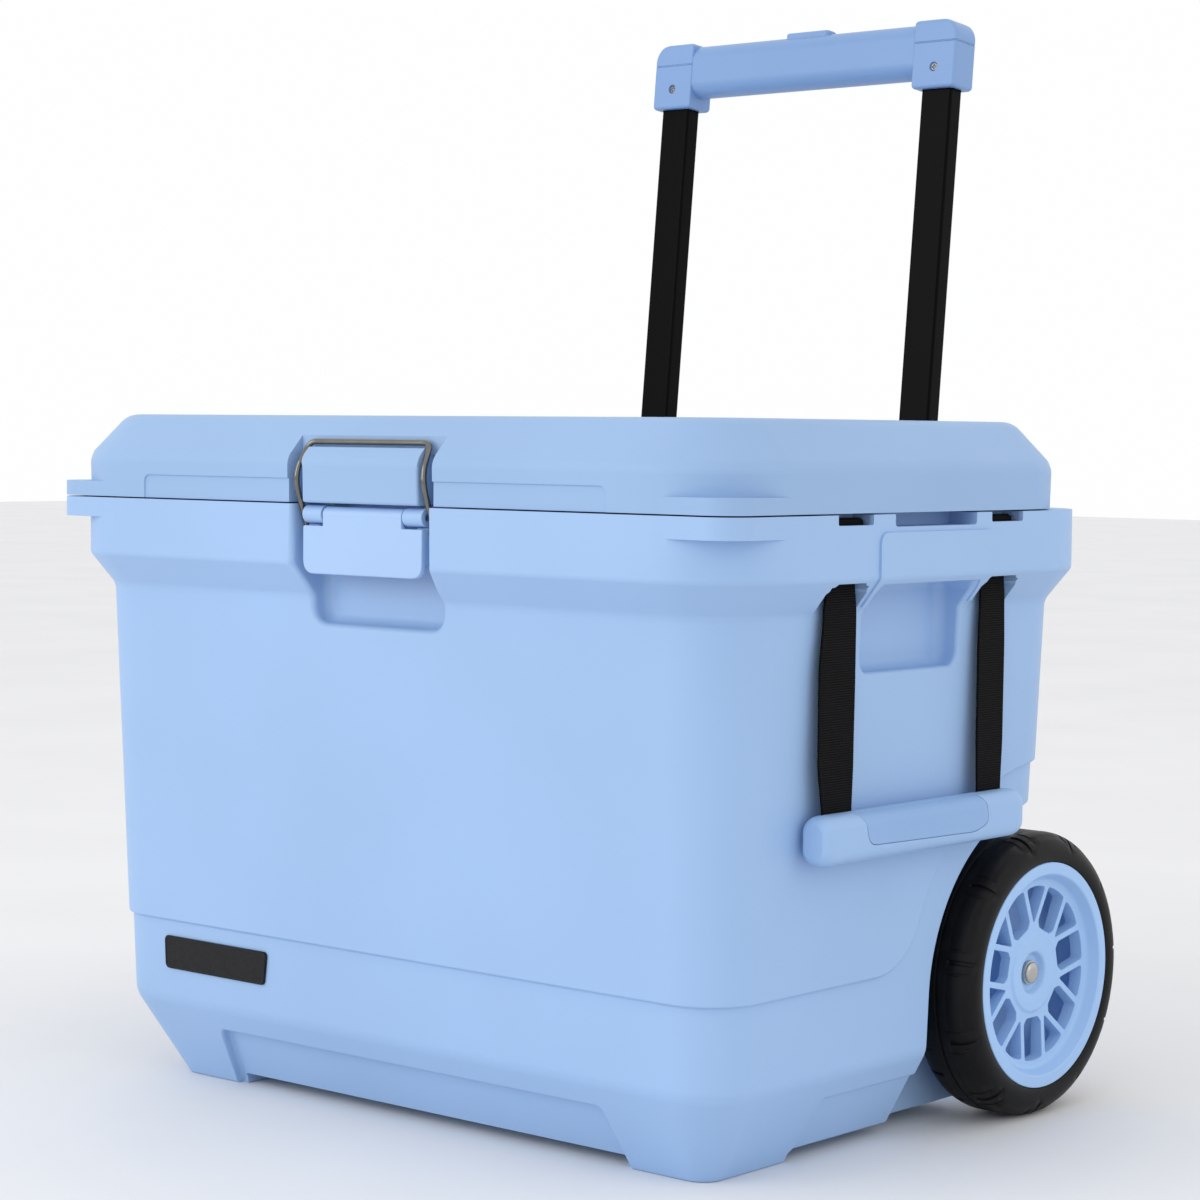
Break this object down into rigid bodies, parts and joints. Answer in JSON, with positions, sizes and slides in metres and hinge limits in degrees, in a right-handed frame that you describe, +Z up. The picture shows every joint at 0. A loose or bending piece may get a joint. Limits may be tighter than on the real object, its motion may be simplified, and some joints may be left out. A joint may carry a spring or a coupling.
{
  "type": "wheeled cooler",
  "caption": "Hard-sided insulated cooler with a hinged lid, wire bail latch, telescoping pull handle, rear wheels, webbing carry handles and a drain plug.",
  "frame": {"origin": "middle of the footprint, on the floor", "axes": "+Z up, -Y towards the front with the latch, +X towards the end on the right as seen from the front"},
  "size_m": [0.6432, 0.5134, 0.7995],
  "materials": {
    "body_blue": "satin moulded polyethylene, pale blue",
    "handle_blue": "satin moulded plastic, a deeper pale blue",
    "liner_white": "smooth white food liner",
    "foam": "foamed in place between the skins",
    "rubber": "matt black rubber",
    "tyre": "moulded tread, satin black",
    "webbing": "ribbed black webbing",
    "black_tube": "gloss black powder coat",
    "steel": "polished stainless steel",
    "pin_steel": "plain bright steel",
    "black_plastic": "satin black plastic"
  },
  "bodies": {
    "cooler_body": {"body_shell": "body_blue", "body_foam": "foam", "body_liner": "liner_white", "badge": "black_plastic", "drain_seal": "rubber", "latch_pin": "pin_steel", "lid_hinge_pin_left": "pin_steel", "lid_hinge_pin_right": "pin_steel", "axle": "pin_steel", "handle_sleeve_left": "black_tube", "handle_sleeve_right": "black_tube", "handle_guide_left": "black_plastic", "handle_guide_right": "black_plastic", "sleeve_foot_left": "black_plastic", "sleeve_foot_right": "black_plastic", "strap_pin_left_front": "pin_steel", "strap_pin_left_rear": "pin_steel", "strap_pin_right_front": "pin_steel", "strap_pin_right_rear": "pin_steel", "strap_anchor_left_front": "webbing", "strap_anchor_left_rear": "webbing", "strap_anchor_right_front": "webbing", "strap_anchor_right_rear": "webbing", "wheel_spacer_left": "black_plastic", "wheel_spacer_right": "black_plastic", "axle_cap_left": "steel", "axle_cap_right": "steel"},
    "lid": {"lid_shell": "body_blue", "lid_foam": "foam", "lid_liner": "liner_white", "lid_gasket": "rubber"},
    "lever": {"latch_lever": "body_blue"},
    "bail": {"latch_bail": "steel"},
    "pull_handle": {"grip_bar": "handle_blue", "grip_elbow_left": "handle_blue", "grip_elbow_right": "handle_blue", "elbow_screw_left": "steel", "elbow_screw_right": "steel", "inner_tube_left": "black_tube", "inner_tube_right": "black_tube"},
    "button": {"release_button": "handle_blue", "push_rod_left": "pin_steel", "push_rod_right": "pin_steel"},
    "pin_left": {"lock_pin_left": "pin_steel"},
    "pin_right": {"lock_pin_right": "pin_steel"},
    "wheel_left": {"tyre_left": "tyre", "wheel_hub_left": "body_blue"},
    "wheel_right": {"tyre_right": "tyre", "wheel_hub_right": "body_blue"},
    "carry_left": {"carry_grip_left": "handle_blue", "grip_insert_left": "handle_blue", "strap_left_front": "webbing", "strap_left_rear": "webbing"},
    "carry_right": {"carry_grip_right": "handle_blue", "grip_insert_right": "handle_blue", "strap_right_front": "webbing", "strap_right_rear": "webbing"},
    "drain": {"drain_plug": "black_plastic"}
  },
  "joints": [
    {"name": "lid_hinge", "type": "hinge", "parent": "cooler_body", "child": "lid", "pos_m": [0, 0.15418, 0.439], "axis": [-1, 0, 0], "range_deg": [0, 72]},
    {"name": "latch_lever_hinge", "type": "hinge", "parent": "cooler_body", "child": "lever", "pos_m": [0, -0.24682, 0.4243], "axis": [-1, 0, 0], "range_deg": [0, 95], "deforming": ["latch_bail"]},
    {"name": "latch_bail_hinge", "type": "hinge", "parent": "lever", "child": "bail", "pos_m": [0, -0.24342, 0.4136], "axis": [1, 0, 0], "range_deg": [0, 161]},
    {"name": "pull_handle_slide", "type": "slide", "parent": "cooler_body", "child": "pull_handle", "axis": [0, 0.0956, 0.9954], "range_m": [-0.29, 0]},
    {"name": "release_button_slide", "type": "slide", "parent": "pull_handle", "child": "button", "axis": [0, -0.0956, -0.9954], "range_m": [0, 0.003], "stiffness_N_per_m": 1500, "springref_m": -0.001},
    {"name": "lock_pin_left_slide", "type": "slide", "parent": "pull_handle", "child": "pin_left", "axis": [1, 0, 0], "range_m": [0, 0.0025]},
    {"name": "lock_pin_right_slide", "type": "slide", "parent": "pull_handle", "child": "pin_right", "axis": [-1, 0, 0], "range_m": [0, 0.0025]},
    {"name": "wheel_left_spin", "type": "hinge", "parent": "cooler_body", "child": "wheel_left", "pos_m": [-0.28, 0.13018, 0.101], "axis": [1, 0, 0], "continuous": true},
    {"name": "wheel_right_spin", "type": "hinge", "parent": "cooler_body", "child": "wheel_right", "pos_m": [0.28, 0.13018, 0.101], "axis": [1, 0, 0], "continuous": true},
    {"name": "carry_left_swing", "type": "hinge", "parent": "cooler_body", "child": "carry_left", "pos_m": [-0.3075, -0.04082, 0.3855], "axis": [0, 1, 0], "range_deg": [0, 85]},
    {"name": "carry_right_swing", "type": "hinge", "parent": "cooler_body", "child": "carry_right", "pos_m": [0.3075, -0.04082, 0.3855], "axis": [0, -1, 0], "range_deg": [0, 85]},
    {"name": "drain_plug_slide", "type": "slide", "parent": "cooler_body", "child": "drain", "axis": [-1, 0, 0], "range_m": [0, 0.02]}
  ],
  "couplings": [
    {"joint": "latch_bail_hinge", "follows": "latch_lever_hinge", "ratio": 1.684},
    {"joint": "lock_pin_left_slide", "follows": "release_button_slide", "ratio": 0.8333},
    {"joint": "lock_pin_right_slide", "follows": "release_button_slide", "ratio": 0.8333}
  ]
}
